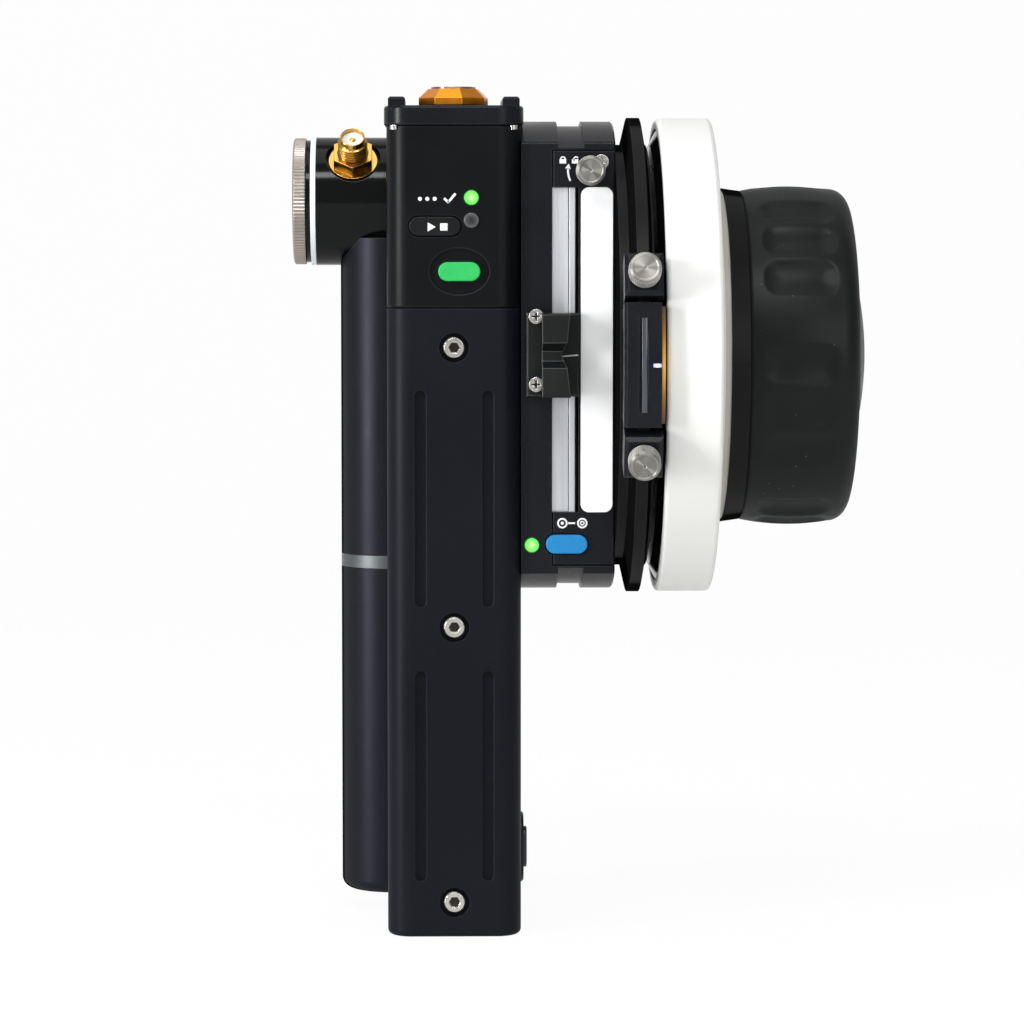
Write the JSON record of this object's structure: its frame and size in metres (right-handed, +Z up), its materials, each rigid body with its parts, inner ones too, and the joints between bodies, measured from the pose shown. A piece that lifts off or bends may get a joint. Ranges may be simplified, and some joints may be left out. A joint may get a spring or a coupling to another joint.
{
  "type": "lens control hand unit",
  "caption": "Hand unit for remote lens control: grip column, control head, slide control, marking disc, rubber focus knob with movable end stops, battery tube and antenna socket.",
  "frame": {"origin": "centre of the foot of the grip column", "axes": "+Z up along the grip, +X along the focus axis towards the knob, +Y away from the buttons"},
  "size_m": [0.1199, 0.1046, 0.1747],
  "materials": {
    "grip_moulding": "satin black moulding",
    "black_anodised": "satin black anodised aluminium",
    "clamp_metal": "satin dark anodised aluminium",
    "stainless": "turned stainless steel",
    "bare_aluminium": "clear anodised aluminium",
    "white_plastic": "write-on matte white",
    "white_elastomer": "white elastomer",
    "knob_rubber": "soft black rubber",
    "black_plastic": "satin black plastic",
    "amber_anodised": "amber anodised",
    "green_plastic": "satin green",
    "blue_plastic": "satin blue",
    "green_light": "lit green light",
    "dark_light": "unlit grey light",
    "blue_light": "lit blue light",
    "warm_light": "lit warm light guide",
    "gold_plating": "gold plated brass",
    "fluoroplastic": "natural white",
    "circuit_board": "green board",
    "encoder_case": "dark grey",
    "cell_wrap": "wrapped cell"
  },
  "bodies": {
    "body": {"grip_front_cover": "grip_moulding", "grip_rear_shell": "grip_moulding", "head_housing": "black_anodised", "top_cap": "black_anodised", "drum_housing": "black_anodised", "drum_side_cover": "black_anodised", "slider_plate": "black_anodised", "stop_ring": "black_anodised", "index_block": "black_anodised", "side_barrel": "black_anodised", "battery_tube_upper": "black_anodised", "side_button_bezel": "black_anodised", "grip_screws": "stainless", "case_screws": "stainless", "bearing_outer_races": "stainless", "slider_rail": "bare_aluminium", "tube_coupling": "bare_aluminium", "marking_strip": "white_plastic", "barrel_seal_ring": "white_elastomer", "ready_light": "green_light", "lens_light": "green_light", "run_light": "dark_light", "index_mark_light": "blue_light", "index_light_guide": "warm_light", "antenna_socket": "gold_plating", "antenna_nut": "gold_plating", "antenna_insulator": "fluoroplastic", "main_board": "circuit_board", "control_board": "circuit_board", "slider_board": "circuit_board", "sensor_board": "circuit_board", "radio_board": "circuit_board", "menu_encoder": "encoder_case", "battery_cells": "cell_wrap"},
    "focus_knob": {"focus_shaft": "stainless", "bearing_inner_races": "stainless", "encoder_magnet": "encoder_case", "disc_carrier": "black_anodised", "stop_pin": "stainless", "marking_disc": "white_plastic", "knob_core": "black_anodised", "knob_grip": "knob_rubber", "knob_end_cap": "black_plastic"},
    "upper_stop": {"stop_clamp_upper": "clamp_metal"},
    "upper_stop_screw": {"thumbscrew_upper": "stainless"},
    "lower_stop": {"stop_clamp_lower": "clamp_metal"},
    "lower_stop_screw": {"thumbscrew_lower": "stainless"},
    "iris_slider": {"slider_carriage": "black_plastic", "slider_knob": "black_plastic", "slider_screws": "stainless"},
    "slider_lock": {"lock_knob": "stainless"},
    "start_push": {"start_button": "green_plastic"},
    "run_push": {"run_button": "black_plastic"},
    "lens_push": {"lens_button": "blue_plastic"},
    "side_push": {"side_button": "blue_plastic"},
    "menu_knob": {"top_knob": "amber_anodised", "top_knob_disc": "stainless"},
    "barrel_cap": {"barrel_end_ring": "stainless"},
    "battery_cap": {"battery_tube_lower": "black_anodised"}
  },
  "joints": [
    {"name": "focus_turn", "type": "hinge", "parent": "body", "child": "focus_knob", "pos_m": [0, 0.01, 0.1191], "axis": [1, 0, 0], "range_deg": [-150, 150]},
    {"name": "upper_stop_shift", "type": "hinge", "parent": "body", "child": "upper_stop", "pos_m": [0, 0.01, 0.1191], "axis": [1, 0, 0], "range_deg": [-140, 0]},
    {"name": "lower_stop_shift", "type": "hinge", "parent": "body", "child": "lower_stop", "pos_m": [0, 0.01, 0.1191], "axis": [1, 0, 0], "range_deg": [0, 140]},
    {"name": "upper_stop_screw_turn", "type": "hinge", "parent": "upper_stop", "child": "upper_stop_screw", "pos_m": [0.0374, -0.04046, 0.13687], "axis": [0, -0.9432, 0.3322], "range_deg": [0, 180]},
    {"name": "lower_stop_screw_turn", "type": "hinge", "parent": "lower_stop", "child": "lower_stop_screw", "pos_m": [0.0374, -0.04005, 0.10019], "axis": [0, -0.9354, -0.3535], "range_deg": [0, 180]},
    {"name": "iris_slide", "type": "slide", "parent": "body", "child": "iris_slider", "axis": [0, 0, 1], "range_m": [-0.02335, 0.02515]},
    {"name": "lock_turn", "type": "hinge", "parent": "body", "child": "slider_lock", "pos_m": [0.0278, -0.011, 0.1574], "axis": [0, -1, 0], "range_deg": [0, 90]},
    {"name": "start_press", "type": "slide", "parent": "body", "child": "start_push", "axis": [0, 1, 0], "range_m": [0, 0.0006], "stiffness_N_per_m": 1000},
    {"name": "run_press", "type": "slide", "parent": "body", "child": "run_push", "axis": [0, 1, 0], "range_m": [0, 0.0006], "stiffness_N_per_m": 1000},
    {"name": "lens_press", "type": "slide", "parent": "body", "child": "lens_push", "axis": [0, 1, 0], "range_m": [0, 0.0006], "stiffness_N_per_m": 1000},
    {"name": "side_press", "type": "slide", "parent": "body", "child": "side_push", "axis": [-1, 0, 0], "range_m": [0, 0.0006], "stiffness_N_per_m": 1000},
    {"name": "menu_turn", "type": "hinge", "parent": "body", "child": "menu_knob", "pos_m": [0, 0, 0.1706], "axis": [0, 0, 1], "continuous": true},
    {"name": "barrel_cap_turn", "type": "hinge", "parent": "body", "child": "barrel_cap", "pos_m": [-0.0339, 0.028, 0.1514], "axis": [-1, 0, 0], "continuous": true},
    {"name": "battery_cap_turn", "type": "hinge", "parent": "body", "child": "battery_cap", "pos_m": [-0.0129, 0.0255, 0.0042], "axis": [0, 0, 1], "continuous": true}
  ]
}
